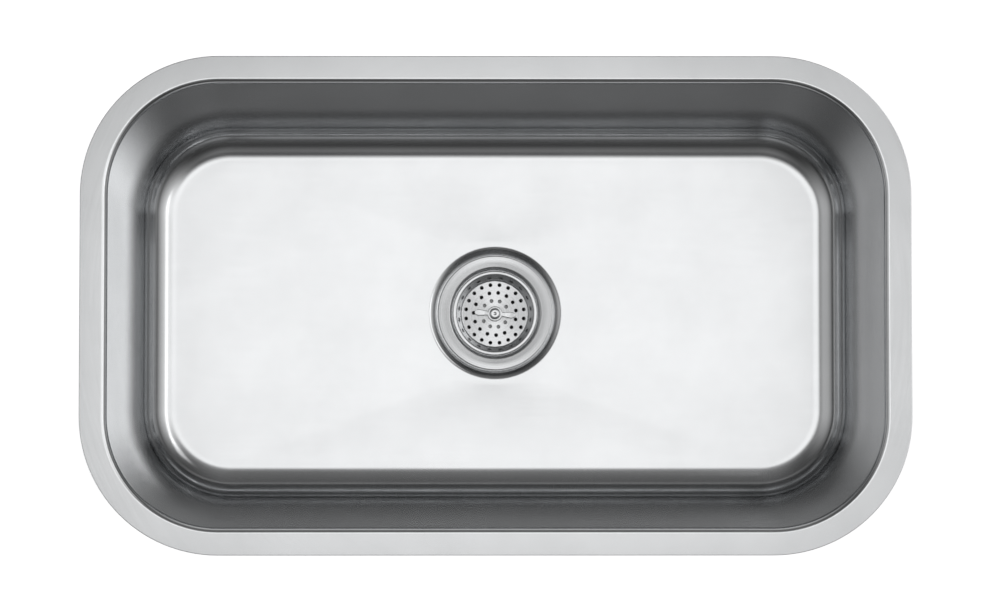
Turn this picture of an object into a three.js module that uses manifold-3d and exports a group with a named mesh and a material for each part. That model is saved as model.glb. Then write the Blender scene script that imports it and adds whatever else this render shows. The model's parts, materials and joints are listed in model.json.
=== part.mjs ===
// Undermount kitchen sink: one deep-drawn stainless-steel bowl and its basket strainer.
// Lengths are in millimetres. +Z is up, +X runs along the sink and +Y towards its back.
// The origin is the centre of the bowl's mouth, in the plane of the rim's top face,
// which is the face that is pressed against the underside of the worktop.

import * as THREE from "three";
import { mergeVertices } from "three/addons/utils/BufferGeometryUtils.js";
import Module from "manifold-3d";

const wasm = await Module();
wasm.setup();

// ---------------------------------------------------------------- driving dimensions

const GAP = 0.3; // clearance between seated pieces, and round a piece in its hole
const OVERCUT = 1; // how far a cutter reaches past what it cuts
const RADIANS = Math.PI / 180;

const sink = {
  length: 762, // over the rim, 30 in
  width: 457.2, // over the rim, 18 in
  depth: 229, // rim's top face to the seat of the strainer, 9 in
  sheet: 1.2, // 18-gauge stainless steel
  rim: 25.4, // width of the rim, out from the mouth's edge
  rimCorner: 127, // outer corner radius of the rim
  rimBend: 5, // bend from the rim down into the wall
  endDraft: 2.4 * RADIANS, // lean of the two short walls
  sideDraft: 6 * RADIANS, // lean of the two long walls
  floorFillet: 32, // bend from the walls into the floor
  floorFall: 4, // how far the floor drops from its edge to the drain
  recessDepth: 3.5, // the strainer's flange sits this far below the floor
  recessSlope: 3.6, // width of the recess's sloping wall, seen from above
  recessBend: 2, // width of the bends at the top and the foot of that wall
};

const deadener = { thick: 3, corner: 18 };
const floorPad = { length: 190, width: 236, clear: 36 }; // clear of the drain's recess
const wallPad = { height: 112, long: 380, short: 170 };

const strainer = {
  hole: 44.8, // radius of the hole in the sink, for a 3 1/2 in strainer
  flange: 12.35, // the flange reaches this far past the hole, 4 1/2 in over all
  flangeThick: 1.5,
  flangeDish: 1, // the flange slopes this much down towards the cup
  flangeEdge: 1, // the turned-down edge of the flange
  freeRing: 1.8, // floor of the recess left clear round the flange
  edgeRound: 1.3, // roundings, from the corner along both sides
  mouthRound: 2.4,
  cupRound: 6,
  wall: 1.2,
  footWall: 1.7, // and where the seat runs into the outlet
  ledgeDrop: 5, // the basket's ledge below its seat on the sink
  ledge: 2.7, // width of that ledge
  seatSlope: 20 * RADIANS, // conical seat that the stopper closes on
  throat: 20.6, // inner radius of the outlet
  neckWall: 3.2, // wall of the threaded outlet
  neck: 18.5, // length of the outlet
};

const flangeSealing = { thick: 0.8, inset: 1.5 };
const gasketRing = { thick: 3, width: 11.6, edge: 0.8 };
const slipRing = { thick: 1.5, width: 10.6 };
const lockNut = { height: 10, wall: 10.5, collar: 2.5, lugs: 6, lugReach: 4, lugTurn: 12 };
const couplingNut = {
  height: 16,
  wall: 4.6,
  ribs: 8,
  ribReach: 1.8,
  ribTurn: 9,
  ribEnd: 1.5, // the ribs stop this far from each face
  lip: 2.4, // thickness of the lip that the washer rests on
  lipReach: 1, // and how far it reaches inside the outlet's bore
};
const tailWasher = { thick: 2, width: 5.2 };

const basket = {
  sheet: 0.8,
  clearance: 1.1, // free ring between the rolled rim and the cup
  rim: 4, // width of the rolled rim
  rimHeight: 2.1,
  depth: 24, // underside of the rim to the top of the perforated floor
  taper: 4.2, // the wall draws in this much from the rim to the floor
  rimRound: 1,
  footRound: 2.4, // of the underside; the inside takes the sheet off
  holes: 1.75, // radius of one perforation
  holeEdge: 4.7, // outer ring of perforations to the edge of the floor
  holePitch: 7.95, // between the rings of perforations
};
// Rings of perforations from the outside in: the count, and the angle of the first hole.
const perforations = [
  { count: 20, first: 9 },
  { count: 15, first: 9.2 },
  { count: 10, first: 33 },
];

const stem = {
  radius: 4,
  shoulder: 2, // the shoulder stands this far out of the shank
  shoulderHeight: 5,
  shoulderRound: 0.6,
  tipCut: 0.8, // the tip for the catch is this much thinner than the shank
  tipStep: 0.5, // height of the step between them
  tipRound: 1,
  tipReach: 1, // the tip ends this far below the crossbar's hub
};
const liftBar = {
  length: 41,
  width: 5.6,
  thick: 1.2,
  hubWall: 3.2,
  waist: 0.36, // half width beside the hub, as a share of the width
  waistEnd: 0.36, // where the waist ends, as a share of the half length
  flare: 0.6, // and where the wing has widened again
  wave: 0.6, // height of the bend
  waves: 0.65, // of a full wave, from the hub out to the tip
  turn: -5,
};
const knob = { wall: 0.7, foot: 1, height: 6.4, roof: 2, waist: 0.4, topRound: 1.6 };
const stopper = {
  radius: 28,
  thick: 4.8,
  hollow: 0.5, // the underside is this much shallower inside its lip
  lip: 4, // width of the lip
  lipSlope: 3,
  bulge: 0.8, // the side stands this far out of the lip
  bulgeAt: 0.4, // at this share of the thickness
  crown: 2, // the top is this much smaller in radius
  seat: 5,
};
const stopperPlate = { width: 15.7, thick: 1.2 };
const stemSpacer = { width: 2.2, height: 3 }; // keeps the plate off the perforations
const stemWasher = { width: 5.7, thick: 1 };
const stemNut = { wall: 2.3, height: 3.2 };
const crossbar = {
  play: 1.3,
  hubWall: 2.6,
  width: 3,
  edge: 0.6,
  height: 5,
  below: 2.6,
  step: 1, // the arms lie this far below the hub's top
};
const snapCatch = { thick: 1.2, height: 3.6, slot: 1.6, inset: 0.5 };

// ---------------------------------------------------------------- levels, from the top down

const level = {};
level.seat = -sink.depth;
level.underside = level.seat - sink.sheet;
level.recessLip = level.seat + sink.recessDepth;
level.floorEdge = level.recessLip + sink.floorFall;
level.filletMiddle = level.floorEdge + sink.floorFillet;
level.flange = level.seat + flangeSealing.thick + 2 * GAP;
level.ledge = level.seat - strainer.ledgeDrop;
level.basketRim = level.ledge + GAP;
level.basketFloor = level.basketRim - basket.depth;
level.basketUnder = level.basketFloor - basket.sheet;
level.shoulderTop = level.basketFloor + GAP + stem.shoulderHeight;
level.liftBar = level.shoulderTop + GAP;
level.knob = level.liftBar + liftBar.thick + GAP;
level.stemTop = level.knob + knob.height - knob.roof - GAP;
level.spacer = level.basketUnder - GAP;
level.plate = level.spacer - stemSpacer.height - GAP;
level.stopper = level.plate - stopperPlate.thick - GAP;
level.stopperLip = level.stopper - stopper.thick;
level.stemWasher = level.stopperLip + stopper.hollow - GAP;
level.stemNut = level.stemWasher - stemWasher.thick - GAP;
level.stemNutEnd = level.stemNut - stemNut.height;
level.neckTop = level.stemNutEnd;
level.hub = level.stemNutEnd - crossbar.below;
level.hubEnd = level.hub - crossbar.height;
level.neckEnd = level.neckTop - strainer.neck;
level.gasket = level.underside - GAP;
level.slipRing = level.gasket - gasketRing.thick - GAP;
level.slipRingEnd = level.slipRing - slipRing.thick;
level.lockNut = Math.min(level.slipRingEnd, level.ledge - strainer.wall) - GAP;
level.tailWasher = level.neckEnd - GAP;
level.nutLip = level.tailWasher - tailWasher.thick - GAP;
level.nutEnd = level.nutLip - couplingNut.lip;

// ---------------------------------------------------------------- radii, worked inwards

const radius = {};
radius.flange = strainer.hole + strainer.flange;
radius.recessFloor = radius.flange + strainer.freeRing;
radius.recessLip = radius.recessFloor + sink.recessSlope;
radius.shoulder = strainer.hole - GAP;
radius.shoulderInside = radius.shoulder - strainer.wall;
radius.cupInside = radius.shoulderInside - strainer.ledge;
radius.cup = radius.cupInside + strainer.wall;
radius.neck = strainer.throat + strainer.neckWall;
radius.seatEdge = stopper.radius + stopper.seat;
radius.basketRim = radius.shoulderInside - basket.clearance;
radius.basketMouth = radius.basketRim - basket.rim;
radius.basketFloor = radius.basketMouth - basket.taper;
radius.stemBore = stem.radius + GAP;
radius.stemShoulder = stem.radius + stem.shoulder;
radius.stemTip = stem.radius - stem.tipCut;
radius.hubBore = radius.stemBore + crossbar.play;
radius.hub = radius.hubBore + crossbar.hubWall;

// ---------------------------------------------------------------- shaping helpers

const TURN_STEPS = 36; // facets round a turned piece
const SMALL_TURN_STEPS = 16; // and round one on the stem
const HOLE_STEPS = 8; // and round one perforation
const WELD = 1e-4; // points nearer than this are one point

function solidFrom(points, corners) {
  return new wasm.Manifold(
    new wasm.Mesh({ numProp: 3, vertProperties: points, triVerts: corners }),
  );
}

// A closed geometry as a solid, with its faces turned outwards.
function solid(geometry) {
  const bare = geometry.index ? geometry.toNonIndexed() : geometry.clone();
  bare.deleteAttribute("normal");
  bare.deleteAttribute("uv");
  const merged = mergeVertices(bare, WELD);
  const points = merged.attributes.position.array;
  const corners = new Uint32Array(merged.index.array);
  const made = solidFrom(points, corners);
  if (made.volume() >= 0) return made;
  for (let i = 0; i < corners.length; i += 3) {
    [corners[i + 1], corners[i + 2]] = [corners[i + 2], corners[i + 1]];
  }
  return solidFrom(points, corners);
}

// A solid back as a geometry that a mesh can hold.
function geometryOf(shape) {
  const mesh = shape.getMesh();
  const geometry = new THREE.BufferGeometry();
  geometry.setAttribute("position", new THREE.BufferAttribute(mesh.vertProperties, 3));
  geometry.setIndex(new THREE.BufferAttribute(mesh.triVerts, 1));
  geometry.computeVertexNormals();
  return geometry;
}

// An outline whose corners are [across, up, cut]; a cut rounds the corner off, starting
// that far from it along both edges, and just short of the middle on a short edge.
function rounded(corners, steps = 2) {
  const points = [];
  corners.forEach(([x, y, cut = 0], i) => {
    const corner = new THREE.Vector2(x, y);
    if (cut === 0) {
      points.push(corner);
      return;
    }
    const [before, after] = [corners.at(i - 1), corners[(i + 1) % corners.length]].map(
      (end) => {
        const along = new THREE.Vector2(end[0], end[1]).sub(corner);
        return along.setLength(Math.min(cut, 0.49 * along.length())).add(corner);
      },
    );
    points.push(...new THREE.QuadraticBezierCurve(before, corner, after).getPoints(steps));
  });
  return points;
}

// A closed (radius, height) outline turned about the Z axis.
function turned(outline, steps = TURN_STEPS) {
  const lathe = new THREE.LatheGeometry([...outline, outline[0]], steps);
  return solid(lathe.rotateX(Math.PI / 2));
}

// A flat ring or disc with square edges.
function ring(inner, outer, low, high, steps = TURN_STEPS) {
  return turned(rounded([[inner, low], [outer, low], [outer, high], [inner, high]]), steps);
}

// What drills a hole from one level to another.
function drill(r, low, high, steps = TURN_STEPS) {
  return ring(0, r, low - OVERCUT, high + OVERCUT, steps);
}

// A straight-sided prism of a shape drawn in the XY plane, with so many facets on each
// of its curves.
function prism(shape, low, high, curveSegments = 1) {
  const flat = new THREE.ExtrudeGeometry(shape, {
    depth: high - low,
    bevelEnabled: false,
    curveSegments,
  });
  return solid(flat.translate(0, 0, low));
}

function roundedRectangle(length, width, corner) {
  const [x, y] = [length / 2, width / 2];
  const quarter = Math.PI / 2;
  const shape = new THREE.Shape();
  shape.absarc(x - corner, y - corner, corner, 0, quarter);
  shape.absarc(corner - x, y - corner, corner, quarter, 2 * quarter);
  shape.absarc(corner - x, corner - y, corner, 2 * quarter, 3 * quarter);
  shape.absarc(x - corner, corner - y, corner, 3 * quarter, 4 * quarter);
  return shape;
}

// ---------------------------------------------------------------- the bowl's skin

// Every ring of the skin has the same points: half a side, a corner and half a side in
// each quarter, so that a rounded rectangle joins a circle with no twist.
const HALF_SIDE_STEPS = 2;
const CORNER_STEPS = 7;
const QUARTER_STEPS = 2 * HALF_SIDE_STEPS + CORNER_STEPS;

// Mirrors the points of the first quarter round all four.
function wholeRing(quarter) {
  const back = quarter.slice().reverse();
  const turns = [[quarter, 1, 1], [back, -1, 1], [quarter, -1, -1], [back, 1, -1]];
  return turns.flatMap(([points, sx, sy]) =>
    points.slice(0, -1).map((p) => new THREE.Vector3(sx * p.x, sy * p.y, p.z)),
  );
}

function arcPoints(cx, cy, r, z, steps) {
  return Array.from({ length: steps + 1 }, (_, k) => {
    const a = (Math.PI / 2) * (k / steps);
    return new THREE.Vector3(cx + r * Math.cos(a), cy + r * Math.sin(a), z);
  });
}

function roundedRing({ halfLength, halfWidth, corner, z }) {
  const [cx, cy] = [halfLength - corner, halfWidth - corner];
  const along = Array.from({ length: HALF_SIDE_STEPS }, (_, k) => k / HALF_SIDE_STEPS);
  return wholeRing([
    ...along.map((t) => new THREE.Vector3(halfLength, cy * t, z)),
    ...arcPoints(cx, cy, corner, z, CORNER_STEPS),
    ...along.reverse().map((t) => new THREE.Vector3(cx * t, halfWidth, z)),
  ]);
}

function circleRing(r, z) {
  return wholeRing(arcPoints(0, 0, r, z, QUARTER_STEPS));
}

// Skins a list of rings. A closed skin joins its last ring to its first; an open one is
// capped with a point in the middle of each end.
function lofted(rings, closed) {
  const count = rings[0].length;
  const points = rings.flat();
  const faces = [];
  const joins = closed ? rings.length : rings.length - 1;
  for (let row = 0; row < joins; row += 1) {
    const next = (row + 1) % rings.length;
    for (let i = 0; i < count; i += 1) {
      const j = (i + 1) % count;
      const [a, b] = [row * count + i, row * count + j];
      const [c, d] = [next * count + j, next * count + i];
      faces.push(a, b, c, a, c, d);
    }
  }
  if (!closed) {
    [0, rings.length - 1].forEach((row) => {
      const middle = points.length;
      points.push(new THREE.Vector3(0, 0, rings[row][0].z));
      for (let i = 0; i < count; i += 1) {
        const edge = [row * count + i, row * count + ((i + 1) % count)];
        faces.push(middle, ...(row === 0 ? edge.reverse() : edge));
      }
    });
  }
  const geometry = new THREE.BufferGeometry().setFromPoints(points);
  geometry.setIndex(faces);
  return solid(geometry);
}

// Half the distance between two facing walls at a height, on the skin that lies `out`
// outside the inner face. The rim's bend, the leaning wall and the floor's fillet are
// tangent to each other.
function wallHalf(z, mouth, draft, out) {
  const bend = sink.rimBend - out;
  const fillet = sink.floorFillet + out;
  const bendEnd = -sink.rimBend + bend * Math.sin(draft);
  const bendMiddle = mouth + sink.rimBend;
  if (z >= bendEnd) {
    const drop = z + sink.rimBend;
    return bendMiddle - Math.sqrt(Math.max(bend * bend - drop * drop, 0));
  }
  const wall = (height) =>
    bendMiddle - bend * Math.cos(draft) - Math.tan(draft) * (bendEnd - height);
  const filletStart = level.filletMiddle - fillet * Math.sin(draft);
  if (z >= filletStart) return wall(z);
  const filletAxis = wall(filletStart) - fillet * Math.cos(draft);
  const drop = z - level.filletMiddle;
  return filletAxis + Math.sqrt(Math.max(fillet * fillet - drop * drop, 0));
}

// One level ring of the bowl; its corners tighten as the walls draw in.
function bowlRing(z, out) {
  const halfLength = wallHalf(z, sink.length / 2 - sink.rim, sink.endDraft, out);
  const halfWidth = wallHalf(z, sink.width / 2 - sink.rim, sink.sideDraft, out);
  const drawnIn = (sink.length / 2 - halfLength + sink.width / 2 - halfWidth) / 2;
  return roundedRing({ halfLength, halfWidth, corner: sink.rimCorner - drawnIn, z });
}

const BEND_STEPS = 3;
const WALL_STEPS = 2;
const FILLET_STEPS = 5;

// Heights down an arc between two slopes, measured from the level.
function arcHeights(middle, bend, from, to, steps) {
  return Array.from({ length: steps + 1 }, (_, k) =>
    middle + bend * Math.sin(THREE.MathUtils.lerp(from, to, k / steps)),
  );
}

// Rings from the top of the walls to the lip of the drain's recess, on the skin that lies
// `out` outside the inner face.
function wallAndFloorRings(out, bend) {
  const lean = (sink.endDraft + sink.sideDraft) / 2;
  const fillet = arcHeights(
    level.filletMiddle,
    sink.floorFillet + out,
    -lean,
    -Math.PI / 2,
    FILLET_STEPS,
  );
  const wall = Array.from({ length: WALL_STEPS - 1 }, (_, k) =>
    THREE.MathUtils.lerp(bend.at(-1), fillet[0], (k + 1) / WALL_STEPS),
  );
  const walls = [...bend, ...wall, ...fillet].map((z) => bowlRing(z, out));
  const lip = circleRing(radius.recessLip, level.recessLip - out);
  const midFloor = walls.at(-1).map((p, i) => p.clone().lerp(lip[i], 0.5));
  return [...walls, midFloor, lip];
}

// Rings of one face of the sheet, from the rim's edge in to the hole for the strainer.
function sheetRings(out) {
  const lean = (sink.endDraft + sink.sideDraft) / 2;
  const bend = arcHeights(
    -sink.rimBend,
    sink.rimBend - out,
    Math.PI / 2,
    lean,
    BEND_STEPS,
  );
  const edge = roundedRing({
    halfLength: sink.length / 2,
    halfWidth: sink.width / 2,
    corner: sink.rimCorner,
    z: -out,
  });
  // The recess wall leans at about 45 degrees, so its outer face lies wider and lower.
  const shift = out * Math.tan(Math.PI / 8);
  const slope = sink.recessDepth / sink.recessSlope;
  const half = sink.recessBend / 2;
  return [
    edge,
    ...wallAndFloorRings(out, bend),
    circleRing(radius.recessLip + shift - half, level.recessLip - out - half * slope),
    circleRing(radius.recessFloor + shift + half, level.seat - out + half * slope),
    circleRing(radius.recessFloor + shift - half, level.seat - out),
    circleRing(strainer.hole, level.seat - out),
  ];
}

function sinkBowl() {
  return lofted([...sheetRings(0), ...sheetRings(sink.sheet).reverse()], true);
}

// The space inside a skin that lies `out` outside the bowl's inner face, for shaping what
// is bonded to the outside of the bowl.
function bowlMould(out) {
  const belowTheBend = -2 * sink.rimBend - out;
  return lofted(wallAndFloorRings(out, [belowTheBend]), false);
}

// ---------------------------------------------------------------- sound deadeners

// Rubber sheets bonded to the outside of the bowl follow its skin, so each is a stretch
// of one shell, cut out by a prism.
const PAD_CORNER_STEPS = 3;
const shell = bowlMould(sink.sheet + GAP + deadener.thick).subtract(
  bowlMould(sink.sheet + GAP),
);

function floorDeadener(side) {
  const outline = roundedRectangle(floorPad.length, floorPad.width, deadener.corner);
  const clear = radius.recessLip + floorPad.clear;
  const flatEnd = wallHalf(level.floorEdge, sink.length / 2 - sink.rim, sink.endDraft, 0);
  const cutter = prism(outline, level.neckEnd, level.filletMiddle, PAD_CORNER_STEPS);
  return shell.intersect(cutter.translate([(side * (clear + flatEnd)) / 2, 0, 0]));
}

// Deadener halfway up the wall that faces the given way in plan, in degrees from +X.
function wallDeadener(facing, length) {
  const outline = roundedRectangle(wallPad.height, length, deadener.corner);
  const cutter = prism(outline, 0, sink.length, PAD_CORNER_STEPS)
    .rotate([0, 90, 0])
    .translate([0, 0, (level.filletMiddle - sink.rimBend) / 2])
    .rotate([0, 0, facing]);
  return shell.intersect(cutter);
}

// ---------------------------------------------------------------- strainer body

// The conical seat's height at a radius: the stopper's lip comes down on it.
function seatAt(r) {
  const slope = Math.tan(strainer.seatSlope);
  return level.stopperLip - GAP + (r - stopper.radius) * slope;
}

// The cup with its flange, ledge, conical seat and threaded outlet, and the crossbar that
// the basket's stem snaps into.
function drainBody() {
  const wall = strainer.wall;
  const cupFloor = seatAt(radius.seatEdge);
  const seatFoot = stopper.radius - wall;
  const flangeTop = level.flange + strainer.flangeThick;
  const edgeInside = radius.flange - strainer.flangeEdge;
  const body = turned(
    rounded([
      [radius.flange, level.seat + GAP],
      [radius.flange, flangeTop, strainer.edgeRound],
      [radius.shoulderInside, flangeTop - strainer.flangeDish, strainer.mouthRound],
      [radius.shoulderInside, level.ledge],
      [radius.cupInside, level.ledge],
      [radius.cupInside, cupFloor, strainer.cupRound],
      [radius.seatEdge, cupFloor],
      [seatFoot, seatAt(seatFoot)],
      [strainer.throat, level.neckTop],
      [strainer.throat, level.neckEnd],
      [radius.neck, level.neckEnd],
      [radius.neck, level.neckTop - wall],
      [seatFoot, seatAt(seatFoot) - strainer.footWall],
      [radius.seatEdge, cupFloor - wall],
      [radius.cup, cupFloor - wall, strainer.cupRound + wall / 2],
      [radius.cup, level.ledge - wall],
      [radius.shoulder, level.ledge - wall],
      [radius.shoulder, level.flange],
      [edgeInside, level.flange],
      [edgeInside, level.seat + GAP],
    ]),
  );
  const reach = 2 * (strainer.throat + strainer.neckWall / 2);
  const bar = roundedRectangle(reach, crossbar.width, crossbar.edge);
  const arm = prism(bar, level.hubEnd, level.hub - crossbar.step);
  const hub = ring(0, radius.hub, level.hubEnd, level.hub, SMALL_TURN_STEPS);
  const bore = drill(radius.hubBore, level.hubEnd, level.hub, SMALL_TURN_STEPS);
  return body.add(arm).add(arm.rotate([0, 0, 90])).add(hub).subtract(bore);
}

// ---------------------------------------------------------------- seals and nuts

function flangeSeal() {
  const low = level.seat + GAP;
  const inner = strainer.hole + flangeSealing.inset;
  const outer = radius.flange - strainer.flangeEdge - GAP;
  return ring(inner, outer, low, low + flangeSealing.thick);
}

function sinkGasket() {
  const outer = strainer.hole + gasketRing.width;
  const low = level.gasket - gasketRing.thick;
  return turned(
    rounded([
      [strainer.hole, low],
      [outer, low, gasketRing.edge],
      [outer, level.gasket],
      [strainer.hole, level.gasket],
    ])
  );
}

function frictionRing() {
  const outer = strainer.hole + slipRing.width;
  return ring(strainer.hole, outer, level.slipRingEnd, level.slipRing);
}

// Outline of a nut with evenly spaced lugs or ribs, which are narrower at their tops.
const LUG_TOP = 0.7;
const LUG_STEPS = 2;

function luggedOutline(body, reach, lugs, halfTurn) {
  const shape = new THREE.Shape();
  const top = LUG_TOP * halfTurn;
  for (let k = 0; k < lugs; k += 1) {
    const middle = (2 * Math.PI * k) / lugs;
    const gapEnd = middle + (2 * Math.PI) / lugs - halfTurn;
    shape.absarc(0, 0, body + reach, middle - top, middle + top);
    shape.absarc(0, 0, body, middle + halfTurn, gapEnd);
  }
  return shape;
}

function strainerLockNut() {
  const bore = radius.cup + GAP;
  const body = bore + lockNut.wall;
  const low = level.lockNut - lockNut.height;
  const lugTurn = lockNut.lugTurn * RADIANS;
  const outline = luggedOutline(body, lockNut.lugReach, lockNut.lugs, lugTurn);
  const lugs = prism(outline, low, level.lockNut - lockNut.collar / 2, LUG_STEPS);
  const top = body + lockNut.lugReach;
  const collar = ring(0, top, level.lockNut - lockNut.collar, level.lockNut);
  return lugs.add(collar).subtract(drill(bore, low, level.lockNut));
}

function outletCouplingNut() {
  const bore = radius.neck + GAP;
  const body = bore + couplingNut.wall;
  const high = level.nutEnd + couplingNut.height;
  const ribTurn = couplingNut.ribTurn * RADIANS;
  const outline = luggedOutline(body, couplingNut.ribReach, couplingNut.ribs, ribTurn);
  const blank = ring(0, body, level.nutEnd, high);
  const ribs = prism(outline, level.nutEnd + couplingNut.ribEnd, high - couplingNut.ribEnd);
  const thread = ring(0, bore, level.nutLip, high + OVERCUT);
  const mouth = drill(strainer.throat - couplingNut.lipReach, level.nutEnd, high);
  return blank.add(ribs).subtract(thread).subtract(mouth);
}

function outletWasher() {
  const outer = radius.neck - GAP;
  const low = level.tailWasher - tailWasher.thick;
  return ring(outer - tailWasher.width, outer, low, level.tailWasher);
}

// ---------------------------------------------------------------- basket

// Rings of perforations across the basket's floor, as many as clear the stem's shoulder.
function perforationCentres() {
  const outermost = radius.basketFloor - basket.holeEdge;
  const nearest = radius.stemShoulder + 2 * basket.holes;
  return perforations
    .map((row, k) => ({ ...row, r: outermost - k * basket.holePitch }))
    .filter(({ r }) => r > nearest)
    .flatMap(({ count, first, r }) =>
      Array.from({ length: count }, (_, k) => {
        const a = (first + (360 * k) / count) * RADIANS;
        return [r * Math.cos(a), r * Math.sin(a), 0];
      }),
    );
}

function strainerBasket() {
  const high = level.basketRim + basket.rimHeight;
  const pressing = turned(
    rounded([
      [radius.stemBore, level.basketUnder],
      [radius.basketFloor + basket.sheet / 2, level.basketUnder, basket.footRound],
      [radius.basketMouth + basket.sheet, level.basketRim],
      [radius.basketRim, level.basketRim],
      [radius.basketRim, high, basket.rimRound],
      [radius.basketMouth, high, basket.rimRound],
      [radius.basketFloor, level.basketFloor, basket.footRound - basket.sheet],
      [radius.stemBore, level.basketFloor],
    ]),
  );
  const punch = drill(basket.holes, level.basketUnder, level.basketFloor, HOLE_STEPS);
  const punches = perforationCentres().map((centre) => punch.translate(centre));
  return pressing.subtract(wasm.Manifold.union(punches));
}

// The stem: a shoulder that stands on the basket's floor, a shank through everything that
// is stacked on it, and a thinner tip for the catch.
function basketStem() {
  const foot = level.basketFloor + GAP;
  const tip = level.hubEnd - stem.tipReach;
  const shankEnd = level.stemNutEnd - stem.tipStep;
  return turned(
    rounded([
      [0, tip],
      [radius.stemTip, tip, stem.tipRound],
      [radius.stemTip, shankEnd - stem.tipStep],
      [stem.radius, shankEnd],
      [stem.radius, foot],
      [radius.stemShoulder, foot],
      [radius.stemShoulder, level.shoulderTop, stem.shoulderRound],
      [stem.radius, level.shoulderTop],
      [stem.radius, level.stemTop],
      [0, level.stemTop],
    ]),
    SMALL_TURN_STEPS,
  );
}

// A pressed strip with a wing to each side of the knob, bent in a shallow wave.
const WING_STEPS = 4;
const WAVE_STEPS = 16;

function wingedBar() {
  const half = liftBar.length / 2;
  const [waist, flare] = [liftBar.waistEnd * half, liftBar.flare * half];
  const [narrow, wide] = [liftBar.waist * liftBar.width, liftBar.width / 2];
  const plan = new THREE.Shape();
  plan.absarc(half - wide, 0, wide, -Math.PI / 2, Math.PI / 2);
  plan.quadraticCurveTo(flare, wide, waist, narrow);
  plan.lineTo(-waist, narrow).quadraticCurveTo(-flare, wide, wide - half, wide);
  plan.absarc(wide - half, 0, wide, Math.PI / 2, 1.5 * Math.PI);
  plan.quadraticCurveTo(-flare, -wide, -waist, -narrow);
  plan.lineTo(waist, -narrow).quadraticCurveTo(flare, -wide, half - wide, -wide);
  const hub = radius.stemBore + liftBar.hubWall;
  const reach = liftBar.thick + 2 * liftBar.wave;
  const blank = prism(plan, -reach, reach, WING_STEPS).add(
    ring(0, hub, -reach, reach, SMALL_TURN_STEPS),
  );

  const height = (x) => {
    const out = Math.max(Math.abs(x) - hub, 0) / (half - hub);
    return -liftBar.wave * Math.sin(2 * Math.PI * liftBar.waves * out);
  };
  const across = Array.from({ length: WAVE_STEPS + 1 }, (_, k) =>
    THREE.MathUtils.lerp(-half - OVERCUT, half + OVERCUT, k / WAVE_STEPS),
  );
  const side = new THREE.Shape([
    ...across.map((x) => new THREE.Vector2(x, height(x))),
    ...across.reverse().map((x) => new THREE.Vector2(x, height(x) + liftBar.thick)),
  ]);
  const strip = prism(side, -hub - OVERCUT, hub + OVERCUT).rotate([90, 0, 0]);
  const bore = drill(radius.stemBore, -reach, reach, SMALL_TURN_STEPS);
  return blank.intersect(strip).subtract(bore);
}

function liftingKnob() {
  const outer = radius.stemBore + knob.wall;
  const high = level.knob + knob.height;
  return turned(
    rounded([
      [radius.stemBore, level.knob],
      [outer + knob.foot, level.knob, knob.foot / 2],
      [outer, level.knob + knob.waist * knob.height, knob.foot],
      [outer, high, knob.topRound],
      [0, high],
      [0, high - knob.roof],
      [radius.stemBore, high - knob.roof],
    ]),
    SMALL_TURN_STEPS,
  );
}

// A piece threaded on the stem: a disc, or a hexagon with six steps.
function stemRing(width, low, high, steps) {
  const blank = ring(0, radius.stemBore + width, low, high, steps);
  return blank.subtract(drill(radius.stemBore, low, high, SMALL_TURN_STEPS));
}

// A split spring barrel that snaps through the bore of the crossbar.
function springCatch() {
  const inner = radius.stemTip + GAP;
  const waist = inner + snapCatch.thick / 2;
  const high = level.hub - snapCatch.inset;
  const low = high - snapCatch.height;
  const barrel = turned(
    rounded([
      [inner, low],
      [waist, low],
      [inner + snapCatch.thick, (low + high) / 2, snapCatch.thick],
      [waist, high],
      [inner, high],
    ]),
    SMALL_TURN_STEPS,
  );
  const slot = new THREE.BoxGeometry(radius.hubBore, snapCatch.slot, 2 * snapCatch.height);
  return barrel.subtract(solid(slot.translate(radius.hubBore / 2, 0, (low + high) / 2)));
}

// ---------------------------------------------------------------- stopper

function rubberStopper() {
  const [high, low] = [level.stopper, level.stopperLip];
  const hollow = low + stopper.hollow;
  return turned(
    rounded([
      [radius.stemBore, hollow],
      [stopper.radius - stopper.lip - stopper.lipSlope, hollow],
      [stopper.radius - stopper.lip, low],
      [stopper.radius, low],
      [
        stopper.radius + stopper.bulge,
        low + stopper.bulgeAt * stopper.thick,
        stopper.bulge,
      ],
      [stopper.radius - stopper.crown, high],
      [radius.stemBore, high],
    ])
  );
}

function backingPlate() {
  const low = level.plate - stopperPlate.thick;
  return stemRing(stopperPlate.width, low, level.plate);
}

// ---------------------------------------------------------------- finishes and assembly

const finish = {
  brushedSteel: { color: 0xc9cbcd, metalness: 1, roughness: 0.32 },
  polishedSteel: { color: 0xd4d6d8, metalness: 1, roughness: 0.2 },
  brass: { color: 0xc2a15c, metalness: 1, roughness: 0.4 },
  zinc: { color: 0xa9abad, metalness: 1, roughness: 0.5 },
  blackRubber: { color: 0x1b1b1c, metalness: 0, roughness: 0.85 },
  greyRubber: { color: 0x4a4c4f, metalness: 0, roughness: 0.9 },
  fibre: { color: 0xb08a5c, metalness: 0, roughness: 0.95 },
  whitePlastic: { color: 0xe8e8e4, metalness: 0, roughness: 0.5 },
};

function piece(name, shape, look) {
  const mesh = new THREE.Mesh(geometryOf(shape), new THREE.MeshStandardMaterial(look));
  mesh.name = name;
  return mesh;
}

function bowlGroup() {
  const bonded = [
    ["sound_deadener_floor_left", floorDeadener(-1)],
    ["sound_deadener_floor_right", floorDeadener(1)],
    ["sound_deadener_right", wallDeadener(0, wallPad.short)],
    ["sound_deadener_back", wallDeadener(90, wallPad.long)],
    ["sound_deadener_left", wallDeadener(180, wallPad.short)],
    ["sound_deadener_front", wallDeadener(270, wallPad.long)],
  ];
  return new THREE.Group().add(
    piece("sink_bowl", sinkBowl(), finish.brushedSteel),
    ...bonded.map(([name, shape]) => piece(name, shape, finish.greyRubber)),
  );
}

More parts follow.
